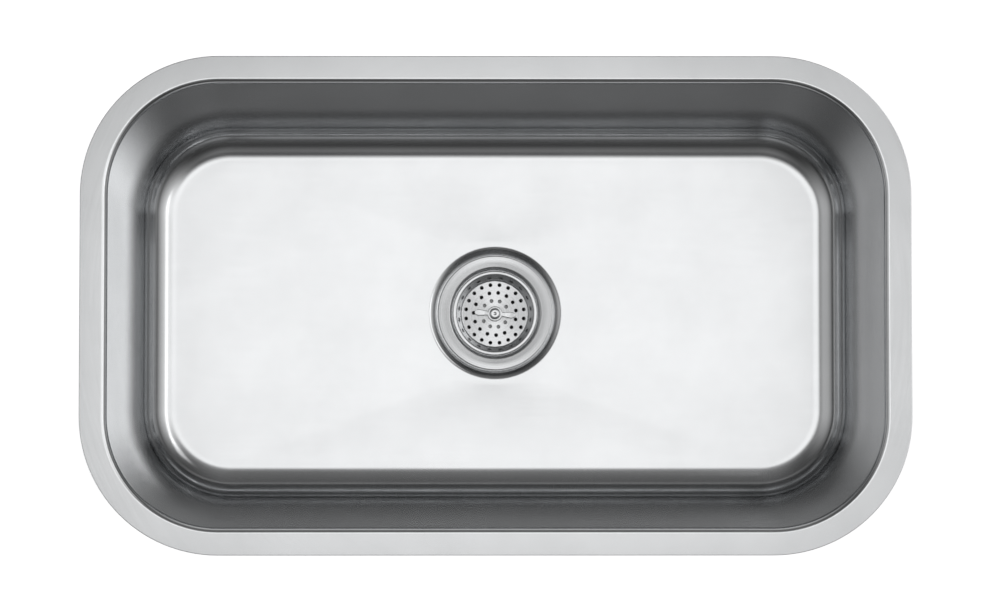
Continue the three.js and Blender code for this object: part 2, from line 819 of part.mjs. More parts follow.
function drainGroup() {
  return new THREE.Group().add(
    piece("drain_body", drainBody(), finish.brushedSteel),
    piece("flange_seal", flangeSeal(), finish.blackRubber),
    piece("sink_gasket", sinkGasket(), finish.blackRubber),
    piece("friction_ring", frictionRing(), finish.fibre),
    piece("lock_nut", strainerLockNut(), finish.zinc),
    piece("coupling_nut", outletCouplingNut(), finish.brass),
    piece("outlet_washer", outletWasher(), finish.whitePlastic),
  );
}

function stopperGroup() {
  return new THREE.Group().add(
    piece("rubber_stopper", rubberStopper(), finish.blackRubber),
    piece("stopper_plate", backingPlate(), finish.brushedSteel),
  );
}

function basketGroup() {
  const bar = piece("lift_bar", wingedBar(), finish.polishedSteel);
  bar.position.z = level.liftBar;
  bar.rotation.z = liftBar.turn * RADIANS;
  const spacerEnd = level.spacer - stemSpacer.height;
  const spacer = stemRing(stemSpacer.width, spacerEnd, level.spacer, SMALL_TURN_STEPS);
  const washerEnd = level.stemWasher - stemWasher.thick;
  const washer = stemRing(stemWasher.width, washerEnd, level.stemWasher, SMALL_TURN_STEPS);
  return new THREE.Group().add(
    piece("basket", strainerBasket(), finish.brushedSteel),
    piece("basket_stem", basketStem(), finish.polishedSteel),
    bar,
    piece("lift_knob", liftingKnob(), finish.polishedSteel),
    piece("stem_spacer", spacer, finish.polishedSteel),
    piece("stem_washer", washer, finish.polishedSteel),
    piece("stem_nut", stemRing(stemNut.wall, level.stemNutEnd, level.stemNut, 6), finish.brass),
    piece("snap_catch", springCatch(), finish.polishedSteel),
  );
}

const assembly = new THREE.Group();
assembly.add(bowlGroup(), drainGroup(), stopperGroup(), basketGroup());

export default assembly;
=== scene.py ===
# %% [markdown]
# # An undermount kitchen sink, piece by piece
#
# This lesson finishes a stainless-steel kitchen sink in Blender. The sizes come from the
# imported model, which is loaded first as a fixed frame. Every piece below is then made
# again with finer curves and a finish of its own, and it stands exactly where the frame
# has it. The order is that of a workshop: the bowl, what is bonded to it, the strainer
# in its floor, the basket, and last the table, the lamps and the camera.

import json
import math

import bmesh
import bpy
from mathutils import Matrix, Vector


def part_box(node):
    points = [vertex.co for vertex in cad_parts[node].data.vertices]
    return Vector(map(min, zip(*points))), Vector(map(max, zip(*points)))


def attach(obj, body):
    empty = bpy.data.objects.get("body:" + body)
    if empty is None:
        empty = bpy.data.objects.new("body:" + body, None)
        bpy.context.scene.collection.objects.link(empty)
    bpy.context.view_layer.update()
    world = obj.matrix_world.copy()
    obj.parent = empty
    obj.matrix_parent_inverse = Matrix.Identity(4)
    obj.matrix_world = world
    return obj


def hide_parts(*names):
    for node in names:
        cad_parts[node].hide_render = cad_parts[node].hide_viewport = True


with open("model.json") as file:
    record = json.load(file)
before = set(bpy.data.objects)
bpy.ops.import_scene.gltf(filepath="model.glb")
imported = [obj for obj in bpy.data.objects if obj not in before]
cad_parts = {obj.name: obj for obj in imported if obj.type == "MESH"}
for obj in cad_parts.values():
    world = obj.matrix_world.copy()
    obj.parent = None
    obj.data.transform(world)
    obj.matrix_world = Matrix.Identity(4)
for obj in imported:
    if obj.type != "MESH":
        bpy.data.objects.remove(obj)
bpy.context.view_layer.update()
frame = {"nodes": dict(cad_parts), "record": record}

# %% [markdown]
# ## Working in millimetres
#
# Blender counts in metres, but a sink is drawn in millimetres. Each piece is therefore
# modelled in millimetres, in a bmesh, and scaled once when it becomes an object. Doing it
# in the mesh keeps the object itself at the origin with no scale, so that a pattern on
# Object coordinates lies on the piece as it should.

# %% Units and the reading of a node's size
MM = 0.001


def extent(node):
    """Lowest and highest corner of a node of the frame, in millimetres."""
    low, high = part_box(node)
    return low / MM, high / MM


def shade(mesh, crease=35):
    """Smooth shading, with a crease wherever two faces meet at more than the angle."""
    mesh.shade_smooth()
    mesh.set_sharp_from_angle(angle=math.radians(crease))


def settle(piece, crease=35):
    """Bakes the modifiers of a piece into its mesh."""
    graph = bpy.context.evaluated_depsgraph_get()
    made = bpy.data.meshes.new_from_object(piece.evaluated_get(graph))
    piece.modifiers.clear()
    piece.data = made
    shade(made, crease)


def piece_from(bm, name, body, node, finish, crease=35):
    """A finished bmesh as a piece that rides on a body and stands for a node."""
    bm.transform(Matrix.Scale(MM, 4))
    mesh = bpy.data.meshes.new(name)
    bm.to_mesh(mesh)
    bm.free()
    piece = bpy.data.objects.new(name, mesh)
    bpy.context.scene.collection.objects.link(piece)
    shade(mesh, crease)
    mesh.materials.append(finish)
    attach(piece, body)
    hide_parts(node)
    print(f"{name}: {len(mesh.polygons)} faces, stands for {node}")
    return piece


# %% [markdown]
# ## Finishes
#
# Satin steel is metal with a fine grain. The grain is a noise stretched so far in one
# direction that it turns into lines; it changes the roughness a little and lifts the
# surface by a few thousandths of a millimetre. On the bowl the lines follow the surface,
# so they read a map laid on it. On turned parts they run in circles, so they read the
# distance from the axis.

# %% Helpers for node materials
slot_colour = {m["slot"]: m["base_color"] for m in frame["record"]["materials"]}


class NodeTree:
    """The nodes of a material or a world, built from left to right."""

    def __init__(self, tree):
        self.nodes = tree.nodes
        self.links = tree.links

    def feed(self, socket, value):
        """Puts a number on a socket, or the output of another node."""
        if isinstance(value, bpy.types.NodeSocket):
            self.links.new(value, socket)
        else:
            socket.default_value = value

    def add(self, kind, settings=None, **inputs):
        node = self.nodes.new(kind)
        for name, value in (settings or {}).items():
            setattr(node, name, value)
        for name, value in inputs.items():
            self.feed(node.inputs[name.replace("_", " ")], value)
        return node

    def maths(self, operation, *values):
        node = self.add("ShaderNodeMath", {"operation": operation})
        for socket, value in zip(node.inputs, values):
            self.feed(socket, value)
        return node.outputs[0]

    def vectors(self, operation, *values):
        node = self.add("ShaderNodeVectorMath", {"operation": operation})
        for socket, value in zip(node.inputs, values):
            self.feed(socket, value)
        single = operation in ("LENGTH", "DOT_PRODUCT")
        return node.outputs["Value" if single else "Vector"]

    def ranged(self, value, low, high, start=0.3, end=0.7):
        """A value between start and end, carried over to low and high."""
        node = self.add(
            "ShaderNodeMapRange",
            Value=value,
            From_Min=start,
            From_Max=end,
            To_Min=low,
            To_Max=high,
        )
        return node.outputs["Result"]


class Finish(NodeTree):
    """A material with one Principled shader."""

    def __init__(self, name, colour, metallic=0.0, roughness=0.5):
        self.material = bpy.data.materials.new(name)
        self.material.use_nodes = True
        super().__init__(self.material.node_tree)
        self.shader = self.nodes["Principled BSDF"]
        self.shader.inputs["Base Color"].default_value = (*colour, 1)
        self.shader.inputs["Metallic"].default_value = metallic
        self.shader.inputs["Roughness"].default_value = roughness
        self.colour = colour

    def stretched(self, source, scale):
        """Coordinates multiplied by a scale along each axis."""
        kind = {"vector_type": "POINT"}
        node = self.add("ShaderNodeMapping", kind, Vector=source, Scale=scale)
        return node.outputs["Vector"]

    def noise(self, vector, scale, detail=3.0, rough=0.55):
        node = self.add(
            "ShaderNodeTexNoise",
            Vector=vector,
            Scale=scale,
            Detail=detail,
            Roughness=rough,
        )
        return node.outputs["Fac"]

    def tint(self, value, dark, light):
        """Drives the colour between a darker and a lighter version of itself."""
        node = self.add("ShaderNodeMix", {"data_type": "RGBA"})
        sockets = [s for s in node.inputs if s.type == "RGBA"]
        sockets[0].default_value = (*[c * dark for c in self.colour], 1)
        sockets[1].default_value = (*[min(c * light, 1) for c in self.colour], 1)
        self.links.new(value, node.inputs["Factor"])
        self.drive("Base Color", next(s for s in node.outputs if s.type == "RGBA"))

    def drive(self, name, value):
        self.links.new(value, self.shader.inputs[name])

    def bump(self, value, height):
        """Lifts the surface by a height in millimetres where the value is high."""
        node = self.add("ShaderNodeBump", Height=value, Distance=height * MM)
        self.drive("Normal", node.outputs["Normal"])


# %% Satin steel of the bowl
BOWL_ROUGHNESS = 0.16


def bowl_steel():
    steel = Finish("satin_steel", slot_colour["bowl_steel"], 1.0, BOWL_ROUGHNESS)
    grain_map = steel.add("ShaderNodeUVMap", {"uv_map": "grain"}).outputs["UV"]
    lines = steel.noise(steel.stretched(grain_map, (14, 1400, 1)), 1.0, 4.0, 0.6)
    low, high = BOWL_ROUGHNESS - 0.02, BOWL_ROUGHNESS + 0.02
    steel.drive("Roughness", steel.ranged(lines, low, high))
    place = steel.add("ShaderNodeTexCoord").outputs["Object"]
    clouds = steel.noise(place, 14, 4.0, 0.6)
    shade_of = steel.maths("ADD", steel.maths("MULTIPLY", lines, 0.4), clouds)
    steel.tint(steel.ranged(shade_of, 0.0, 1.0, 0.45, 0.95), 0.95, 1.03)
    steel.bump(lines, 0.002)
    return steel.material


# %% Turned and polished steel, brass and the plated nut
def turned_metal(name, slot, roughness, lines=900, depth=0.003, streak=0.02, groove=0.0):
    metal = Finish(name, slot_colour[slot], 1.0, roughness)
    metal.shader.inputs["Anisotropic"].default_value = groove
    tangent = metal.add("ShaderNodeTangent", {"direction_type": "RADIAL", "axis": "Z"})
    metal.drive("Tangent", tangent.outputs["Tangent"])
    place = metal.add("ShaderNodeTexCoord").outputs["Object"]
    apart = metal.add("ShaderNodeSeparateXYZ", Vector=place)
    reach = metal.vectors("LENGTH", metal.vectors("MULTIPLY", place, (1, 1, 0)))
    circles = metal.add("ShaderNodeCombineXYZ", X=reach, Y=apart.outputs["Z"])
    rings = metal.noise(circles.outputs[0], lines, 3.0, 0.6)
    spots = metal.noise(place, 60, 2.0)
    metal.drive("Roughness", metal.ranged(rings, roughness - 0.04, roughness + 0.04))
    metal.tint(spots, 1 - streak, 1 + streak)
    metal.bump(rings, depth)
    return metal.material


def cast_metal(name, slot):
    metal = Finish(name, slot_colour[slot], 1.0, 0.42)
    place = metal.add("ShaderNodeTexCoord").outputs["Object"]
    grains = metal.noise(place, 900, 3.0)
    patches = metal.noise(place, 45, 4.0)
    metal.drive("Roughness", metal.ranged(patches, 0.34, 0.52))
    metal.tint(patches, 0.9, 1.04)
    metal.bump(grains, 0.05)
    return metal.material


# %% Rubber, fibre and plastic
def rubber(name, slot, roughness, speckle=0.85, grain=0.03):
    soft = Finish(name, slot_colour[slot], 0.0, roughness)
    place = soft.add("ShaderNodeTexCoord").outputs["Object"]
    fine = soft.noise(place, 1500, 2.0)
    broad = soft.noise(place, 25, 4.0)
    soft.drive("Roughness", soft.ranged(broad, roughness - 0.08, roughness + 0.08))
    soft.tint(fine, speckle, 2 - speckle)
    soft.bump(fine, grain)
    return soft.material


def deadener_sheet():
    """Rubber sheet with a coarse, dull face."""
    sheet = Finish("sheet_rubber", slot_colour["deadener_rubber"], 0.0, 0.8)
    place = sheet.add("ShaderNodeTexCoord").outputs["Object"]
    fine = sheet.noise(place, 1300, 2.0)
    broad = sheet.noise(place, 18, 4.0)
    sheet.drive("Roughness", sheet.ranged(broad, 0.68, 0.88))
    sheet.tint(fine, 0.8, 1.2)
    sheet.bump(fine, 0.06)
    return sheet.material


def pressed_fibre():
    board = Finish("pressed_board", slot_colour["fibre"], 0.0, 0.9)
    place = board.add("ShaderNodeTexCoord").outputs["Object"]
    strands = board.noise(board.stretched(place, (1, 1, 4)), 700, 5.0, 0.7)
    board.tint(strands, 0.7, 1.25)
    board.bump(strands, 0.08)
    return board.material


# %% The finishes by their slots
finishes = {
    "bowl_steel": bowl_steel(),
    "strainer_steel": turned_metal("turned_steel", "strainer_steel", 0.23, groove=0.85),
    "bright_steel": turned_metal("polished_steel", "bright_steel", 0.22, 1300, 0.001),
    "brass": turned_metal("turned_brass", "brass", 0.3, 700, 0.004, 0.06),
    "plated_nut": cast_metal("cast_plated", "plated_nut"),
    "deadener_rubber": deadener_sheet(),
    "black_rubber": rubber("soft_rubber", "black_rubber", 0.5),
    "fibre": pressed_fibre(),
    "washer_plastic": rubber("pale_plastic", "washer_plastic", 0.4, 0.98, 0.005),
}
print("finishes:", ", ".join(finishes))

# %% [markdown]
# ## The bowl
#
# A drawn bowl is one sheet of steel. Cut level at any height it is a rectangle with
# rounded corners, and the corners tighten as the walls lean in. So the bowl is made of
# level rings. Each ring starts as a rectangle of four points; a vertex bevel rounds its
# corners, and the straight sides are cut into short edges. Rings are then joined by
# bridging. At the drain the rings are circles with as many points.

# %% Sizes of the bowl
SHEET = 1.2
RIM = 25.4
RIM_CORNER = 127
RIM_BEND = 5
END_DRAFT = math.radians(3.1)
SIDE_DRAFT = math.radians(6.3)
END_FILLET = 29
SIDE_FILLET = 31
FILLET_RISE = 25
FLOOR_FALL = 4
RECESS_DEPTH = 3.5
RECESS_FLOOR = 58.95
RECESS_LIP = 62.55
RECESS_BEND = 1.6
RECESS_SPREAD = 5.0
HOLE = 44.8
HOLD = 0.6  # how close a ring lies to a bend, so that flat parts are shaded flat
WALL_HOLD = 1.5  # the same on the walls

bowl_low, bowl_high = extent("sink_bowl")
HALF_LENGTH = bowl_high.x
HALF_WIDTH = bowl_high.y
SEAT = bowl_low.z + SHEET
LIP_LEVEL = SEAT + RECESS_DEPTH
FLOOR_EDGE = LIP_LEVEL + FLOOR_FALL
FILLET_MIDDLE = FLOOR_EDGE + FILLET_RISE
print(f"bowl: {2 * HALF_LENGTH:.1f} by {2 * HALF_WIDTH:.1f} mm, seat at {SEAT:.1f} mm")

# %% Rings of the bowl
CORNER_STEPS = 28
LONG_CUTS = 23
SHORT_CUTS = 13
RING_STEPS = 4 * CORNER_STEPS + 2 * (LONG_CUTS + 1) + 2 * (SHORT_CUTS + 1)


def known(bm):
    """The vertices so far, by a hash that stays theirs while operators work."""
    return {hash(v) for v in bm.verts}


def added(bm, before):
    """The vertices that were not there before."""
    return [v for v in bm.verts if hash(v) not in before]


def edges_of(vertices):
    """The edges at some vertices."""
    return list({e for v in vertices for e in v.link_edges})


def outlined(bm, spots, closed=True):
    """Puts an edge from each vertex to the next, and closes the outline if told to."""
    for start, end in zip(spots, spots[1:]):
        bm.edges.new((start, end))
    if closed:
        bm.edges.new((spots[-1], spots[0]))


def rounded(bm, geom, offset, affect, segments):
    """Bevels vertices or edges into an arc."""
    bmesh.ops.bevel(
        bm,
        geom=geom,
        offset=offset,
        offset_type="OFFSET",
        affect=affect,
        segments=segments,
        profile=0.5,
        material=-1,
    )


def bridged(bm, rings):
    """Joins each ring of edges to the next one by a band of faces."""
    for one, two in zip(rings, rings[1:]):
        bmesh.ops.bridge_loops(bm, edges=one + two)


def rounded_ring(bm, half_x, half_y, corner, z):
    """A level rectangle with rounded corners, as a ring of edges."""
    before = known(bm)
    signs = ((1, 1), (-1, 1), (-1, -1), (1, -1))
    corners = [bm.verts.new((sx * half_x, sy * half_y, z)) for sx, sy in signs]
    outlined(bm, corners)
    rounded(bm, corners, corner, "VERTICES", CORNER_STEPS)
    sides = sorted(edges_of(added(bm, before)), key=lambda e: e.calc_length())[-4:]
    bmesh.ops.subdivide_edges(bm, edges=sides[:2], cuts=SHORT_CUTS)
    bmesh.ops.subdivide_edges(bm, edges=sides[2:], cuts=LONG_CUTS)
    return edges_of(added(bm, before))


def round_ring(bm, radius, z, steps=RING_STEPS):
    """A level circle, as a ring of edges."""
    place = Matrix.Translation((0, 0, z))
    circle = bmesh.ops.create_circle(bm, segments=steps, radius=radius, matrix=place)
    return edges_of(circle["verts"])


# %% The walls' profile
def wall_half(z, mouth, draft, fillet):
    """Half the distance between two facing walls at a height. The fillet is an ellipse."""
    bend_end = -RIM_BEND + RIM_BEND * math.sin(draft)
    bend_middle = mouth + RIM_BEND
    if z >= bend_end:
        return bend_middle - math.sqrt(max(RIM_BEND**2 - (z + RIM_BEND) ** 2, 0))

    def wall(height):
        top = bend_middle - RIM_BEND * math.cos(draft)
        return top - math.tan(draft) * (bend_end - height)

    start = math.atan(math.tan(draft) * FILLET_RISE / fillet)
    fillet_start = FILLET_MIDDLE - FILLET_RISE * math.sin(start)
    if z >= fillet_start:
        return wall(z)
    fillet_axis = wall(fillet_start) - fillet * math.cos(start)
    drop = (z - FILLET_MIDDLE) / FILLET_RISE
    return fillet_axis + fillet * math.sqrt(max(1 - drop**2, 0))


def arc_levels(middle, radius, start, end, steps):
    """Levels down an arc between two slopes."""
    turns = [start + (end - start) * k / steps for k in range(steps + 1)]
    return [middle + radius * math.sin(turn) for turn in turns]


LEAN = (END_DRAFT + SIDE_DRAFT) / 2
BEND_CUTS, WALL_CUTS, FILLET_CUTS = 12, 12, 24
UP, DOWN = math.pi / 2, -math.pi / 2
bend_levels = arc_levels(-RIM_BEND, RIM_BEND, UP, LEAN, BEND_CUTS)
fillet_levels = arc_levels(FILLET_MIDDLE, FILLET_RISE, -LEAN, DOWN, FILLET_CUTS)
wall_top, wall_foot = bend_levels[-1] - WALL_HOLD, fillet_levels[0] + WALL_HOLD
wall_levels = [
    wall_top + (wall_foot - wall_top) * k / WALL_CUTS for k in range(WALL_CUTS + 1)
]
print("levels:", len(bend_levels) + len(wall_levels) + len(fillet_levels))


# %% [markdown]
# The floor is not flat: it falls a few millimetres to the drain so that it empties. It
# leaves the fillet level and steepens towards the recess, so water never stands. The
# floor is one band of long faces at first; cutting their edges gives it rings, and each
# new ring is then lowered along that curve.


# %% Skin of the bowl
FALL_CURVE = 1.2  # 1 would be an even slope
FLOOR_CUTS = 16
RECESS_CUTS = 16
RECESS_CURVE = 1.5  # above 1, the lip's bend is wider than the one at its foot


def floor_band(bm, outer, inner):
    """Joins the floor's edge to the recess, and lets the floor fall towards it."""
    before = known(bm)
    band = bmesh.ops.bridge_loops(bm, edges=outer + inner)
    rungs = [e for e in band["edges"] if e not in outer and e not in inner]
    bmesh.ops.subdivide_edges(bm, edges=rungs, cuts=FLOOR_CUTS)
    for v in added(bm, before):
        share = (FLOOR_EDGE - v.co.z) / FLOOR_FALL
        v.co.z = FLOOR_EDGE - FLOOR_FALL * share**FALL_CURVE


def inset_ring(bm, in_x, in_y, z):
    """A ring that lies so far inside the rim's outline along each axis."""
    corner = RIM_CORNER - (in_x + in_y) / 2
    return rounded_ring(bm, HALF_LENGTH - in_x, HALF_WIDTH - in_y, corner, z)


def bowl_skin():
    """The inner face of the sheet, from the rim's edge to the hole for the strainer."""
    bm = bmesh.new()
    rings = [inset_ring(bm, i, i, 0) for i in (0, HOLD, RIM - RIM_BEND - HOLD)]
    for z in bend_levels + wall_levels + fillet_levels:
        half_x = wall_half(z, HALF_LENGTH - RIM, END_DRAFT, END_FILLET)
        half_y = wall_half(z, HALF_WIDTH - RIM, SIDE_DRAFT, SIDE_FILLET)
        in_x, in_y = HALF_LENGTH - half_x, HALF_WIDTH - half_y
        rings.append(inset_ring(bm, in_x, in_y, z))
    rings.append(inset_ring(bm, in_x + 3 * HOLD, in_y + 3 * HOLD, FLOOR_EDGE - 0.01))
    bridged(bm, rings)
    recess = [round_ring(bm, r, z) for r, z in recess_profile()]
    floor_band(bm, rings[-1], recess[0])
    bridged(bm, recess)
    bmesh.ops.recalc_face_normals(bm, faces=bm.faces)
    if sum(f.normal.z * f.calc_area() for f in bm.faces) < 0:
        bmesh.ops.reverse_faces(bm, faces=bm.faces)
    return bm


def recess_profile():
    """(radius, level) down the recess: two soft bends and a slope between them."""
    outer, inner = RECESS_LIP + RECESS_SPREAD, RECESS_FLOOR - RECESS_BEND
    profile = []
    for k in range(RECESS_CUTS + 1):
        t = k / RECESS_CUTS
        late = t**RECESS_CURVE
        ease = late * late * (3 - 2 * late)
        profile.append((outer + (inner - outer) * t, LIP_LEVEL - RECESS_DEPTH * ease))
    return profile + [((inner + HOLE) / 2, SEAT), (HOLE, SEAT)]


# %% [markdown]
# The grain needs a map. On the rim and the walls it runs round the bowl, so there the
# map's first axis is the way round and the second the way down. The floor is brushed
# along its length, so there the map is simply x and y.


# %% The grain's map
ROUND_CORNERS = 0.9  # the way round the bowl, as a share of the one round a sharp box
GRAIN_LEAN = 0.3  # how much the way out counts on the rim, which has no way down


def way_round(x, y):
    """How far a point is round the bowl, as the angle on a stretched circle."""
    return math.atan2(y / HALF_WIDTH, x / HALF_LENGTH) / (2 * math.pi)


def lay_grain(bm):
    grain = bm.loops.layers.uv.new("grain")
    round_length = 2 * (HALF_LENGTH + HALF_WIDTH) * ROUND_CORNERS
    for face in bm.faces:
        centre = face.calc_center_median()
        on_floor = centre.z < FLOOR_EDGE + 1
        start = way_round(centre.x, centre.y)
        for loop in face.loops:
            x, y, z = loop.vert.co
            if on_floor:
                loop[grain].uv = (x * MM, y * MM)
                continue
            turn = way_round(x, y)
            turn -= round(turn - start)
            down = z + math.hypot(x, y) * GRAIN_LEAN
            loop[grain].uv = (turn * round_length * MM, down * MM)


skin = bowl_skin()
lay_grain(skin)
print("bowl skin:", len(skin.faces), "faces")
steel = finishes["bowl_steel"]
bowl = piece_from(skin.copy(), "bowl", "sink", "sink_bowl", steel)

# %% Thickness of the sheet
def thickened(piece, thick, edge, segments, even=False):
    """Gives a skin its thickness on the far side, and soft edges all round."""
    shell = piece.modifiers.new("thickness", "SOLIDIFY")
    shell.thickness = thick * MM
    shell.offset = -1
    shell.use_even_offset = even
    soft = piece.modifiers.new("edge", "BEVEL")
    soft.width = edge * MM
    soft.segments = segments
    soft.limit_method = "ANGLE"
    soft.angle_limit = math.radians(50)
    settle(piece)


thickened(bowl, SHEET, 0.3, 2, even=True)
print("bowl:", len(bowl.data.polygons), "faces with its thickness")

# %% [markdown]
# ## Sound deadeners
#
# Rubber sheets on the outside keep the bowl from drumming. They are bonded to it, so
# each one is cut out of the bowl's own skin: a copy is trimmed by planes along the
# sheet's edges and round its corners, moved out by the thickness of the steel, and
# given the thickness of the rubber.

# %% Cutting a sheet out of the skin
PAD_THICK = 3.0
PAD_CORNER = 18
PAD_CUTS = 8
BOND = 0.15  # the glue between steel and rubber


def pad_planes(middle, along, up, half_a, half_u):
    """Points and outward directions of the planes round a sheet with round corners."""
    planes = [(middle + s * half_a * along, s * along) for s in (1, -1)]
    planes += [(middle + s * half_u * up, s * up) for s in (1, -1)]
    for sa in (1, -1):
        for su in (1, -1):
            axis = middle + sa * (half_a - PAD_CORNER) * along
            axis = axis + su * (half_u - PAD_CORNER) * up
            for k in range(1, PAD_CUTS):
                turn = math.radians(90 * k / PAD_CUTS)
                out = sa * math.cos(turn) * along + su * math.sin(turn) * up
                planes.append((axis + PAD_CORNER * out, out))
    return planes


def sliced(bm, point, out, clear=False):
    """Cuts all faces along a plane, and clears what lies beyond it if told to."""
    bmesh.ops.bisect_plane(
        bm,
        geom=bm.verts[:] + bm.edges[:] + bm.faces[:],
        plane_co=point,
        plane_no=out,
        clear_outer=clear,
    )


def sound_deadener(name, node, planes, keep):
    """A rubber sheet, cut by planes out of the part of the skin to keep."""
    bm = skin.copy()
    extra = [f for f in bm.faces if not keep(f.calc_center_median())]
    bmesh.ops.delete(bm, geom=extra, context="FACES")
    for point, out in planes:
        sliced(bm, point, out, clear=True)
    bm.normal_update()
    for v in bm.verts:
        v.co -= v.normal * (SHEET + BOND)
    rubber_sheet = finishes["deadener_rubber"]
    pad = piece_from(bm, name, "sink", node, rubber_sheet)
    thickened(pad, PAD_THICK, 0.7, 3)


# %% The six sheets
X, Y, Z = Vector((1, 0, 0)), Vector((0, 1, 0)), Vector((0, 0, 1))
# A wall's sheet is cut out of the skin further out than this and between these levels,
# and a floor's sheet out of what lies past the drain.
WALL_FROM, WALL_TOP, WALL_FOOT = 100, -20, -170
PAST_DRAIN = 60

for side, axis, sign in (
    ("back", Y, 1),
    ("front", Y, -1),
    ("right", X, 1),
    ("left", X, -1),
):
    node = "sound_deadener_" + side
    low, high = extent(node)
    middle, half = (low + high) / 2, (high - low) / 2
    along = X if axis is Y else Y
    planes = pad_planes(middle, along, Z, abs(half.dot(along)), half.z)
    sound_deadener(
        side + "_deadener",
        node,
        planes,
        lambda c, axis=axis, sign=sign: sign * c.dot(axis) > WALL_FROM
        and WALL_FOOT < c.z < WALL_TOP,
    )

for side, sign in (("left", -1), ("right", 1)):
    node = "sound_deadener_floor_" + side
    low, high = extent(node)
    middle, half = (low + high) / 2, (high - low) / 2
    sound_deadener(
        "floor_" + side + "_deadener",
        node,
        pad_planes(middle, X, Y, half.x, half.y),
        lambda c, sign=sign: sign * c.x > PAST_DRAIN and c.z < FLOOR_EDGE + 20,
    )

# %% [markdown]
# ## Turned pieces
#
# The strainer is nearly all turned work. A turned piece is an outline, half of its
# section, spun round the axis. The outline is drawn with sharp corners, and a vertex
# bevel rounds the corners that a tool or a press would leave round.

# %% Spinning an outline
TURN_STEPS = 128


def turned(outline, steps=TURN_STEPS, segments=5):
    """A bmesh from (radius, level, rounding) corners. It closes on itself or the axis."""
    bm = bmesh.new()
    spots = [bm.verts.new((r, 0, z)) for r, z, *_ in outline]
    outlined(bm, spots, closed=outline[0][0] > 0)
    for spot, corner in zip(spots, outline):
        if len(corner) > 2:
            rounded(bm, [spot], corner[2], "VERTICES", segments)
    bmesh.ops.spin(
        bm,
        geom=bm.verts[:] + bm.edges[:],
        cent=(0, 0, 0),
        axis=(0, 0, 1),
        angle=2 * math.pi,
        steps=steps,
        use_merge=True,
    )
    bmesh.ops.remove_doubles(bm, verts=bm.verts, dist=1e-5)
    bmesh.ops.recalc_face_normals(bm, faces=bm.faces)
    return bm


def finished(bm, name, body, node, slot, crease=35):
    """A bmesh as a piece with the finish of its slot."""
    return piece_from(bm, name, body, node, finishes[slot], crease)


def turned_piece(name, body, node, slot, outline, steps=TURN_STEPS):
    return finished(turned(outline, steps), name, body, node, slot)


# %% Sizes of the strainer
drain_low, drain_high = extent("drain_body")
FLANGE = drain_high.x
FLANGE_TOP = SEAT + 2.9
SHOULDER = 44.5
SHOULDER_INSIDE = 43.3
CUP_INSIDE = 40.6
CUP = 41.8
LEDGE = -234.0
THROAT = 20.6
NECK = 23.8
NECK_END = drain_low.z
WALL = 1.2
SEAT_EDGE = 33.0
STOPPER = 28.0
STOPPER_LIP = extent("rubber_stopper")[0].z
SEAT_SLOPE = math.tan(math.radians(20))
NECK_TOP = extent("stem_nut")[0].z


def seat_at(radius):
    """Level of the conical seat that the stopper closes on."""
    return STOPPER_LIP - 0.3 + (radius - STOPPER) * SEAT_SLOPE


cup_floor = seat_at(SEAT_EDGE)
seat_foot = STOPPER - WALL
turned_piece(
    "strainer_body",
    "sink",
    "drain_body",
    "strainer_steel",
    [
        (FLANGE, SEAT + 0.3, 0.2),
        (FLANGE, FLANGE_TOP, 1.3),
        (SHOULDER_INSIDE + 4.6, FLANGE_TOP - 0.8, 1.5),
        (SHOULDER_INSIDE, FLANGE_TOP - 1.1, 2.6),
        (SHOULDER_INSIDE, LEDGE, 0.5),
        (CUP_INSIDE, LEDGE, 0.8),
        (CUP_INSIDE, cup_floor, 5.5),
        (SEAT_EDGE, cup_floor, 1.5),
        (seat_foot, seat_at(seat_foot), 1.2),
        (THROAT, NECK_TOP, 1.0),
        (THROAT, NECK_END, 0.3),
        (NECK, NECK_END, 0.5),
        (NECK, NECK_TOP - WALL, 0.5),
        (seat_foot, seat_at(seat_foot) - 1.4 * WALL, 1.2),
        (SEAT_EDGE, cup_floor - WALL, 1.5),
        (CUP, cup_floor - WALL, 6.5),
        (CUP, LEDGE - WALL, 0.5),
        (SHOULDER, LEDGE - WALL, 0.6),
        (SHOULDER, FLANGE_TOP - 1.5, 0.4),
        (FLANGE - 1.0, FLANGE_TOP - 1.5, 0.3),
        (FLANGE - 1.0, SEAT + 0.3, 0.2),
    ],
)

# %% [markdown]
# A thread is the same idea with a climb: a small triangle is spun round the axis and
# moves along it at every step. Its ends would be cut off square, so the ridge sinks
# into the wall over its first and last quarter turn, as a cut thread runs out.


# %% Threads on the cup and the outlet
THREAD_STEPS = 64
THREAD_ROOT = 0.2  # how deep the ridge's foot stands in the wall


def thread(name, radius, high, low, pitch, depth):
    """A ridge that climbs round the strainer's body from low to high."""
    bm = bmesh.new()
    base, crest = radius - THREAD_ROOT, radius + depth
    half, flat = 0.48 * pitch, 0.12 * pitch
    corners = [(base, -half), (base, half), (crest, flat), (crest, -flat)]
    outlined(bm, [bm.verts.new((r, 0, high - half + z)) for r, z in corners])
    turns = (high - low - pitch) / pitch
    steps = round(turns * THREAD_STEPS)
    bmesh.ops.spin(
        bm,
        geom=bm.verts[:] + bm.edges[:],
        cent=(0, 0, 0),
        axis=(0, 0, 1),
        dvec=(0, 0, -pitch / THREAD_STEPS),
        angle=2 * math.pi * steps / THREAD_STEPS,
        steps=steps,
        use_merge=False,
    )
    bmesh.ops.holes_fill(bm, edges=bm.edges, sides=4)
    bmesh.ops.recalc_face_normals(bm, faces=bm.faces)
    for v in bm.verts:
        reach = math.hypot(v.co.x, v.co.y)
        run = min(high - v.co.z, v.co.z - low) / (0.9 * pitch)
        sunk = base + (reach - base) * min(max(run, 0.02), 1)
        v.co.x *= sunk / reach
        v.co.y *= sunk / reach
    finished(bm, name, "sink", "drain_body", "strainer_steel")


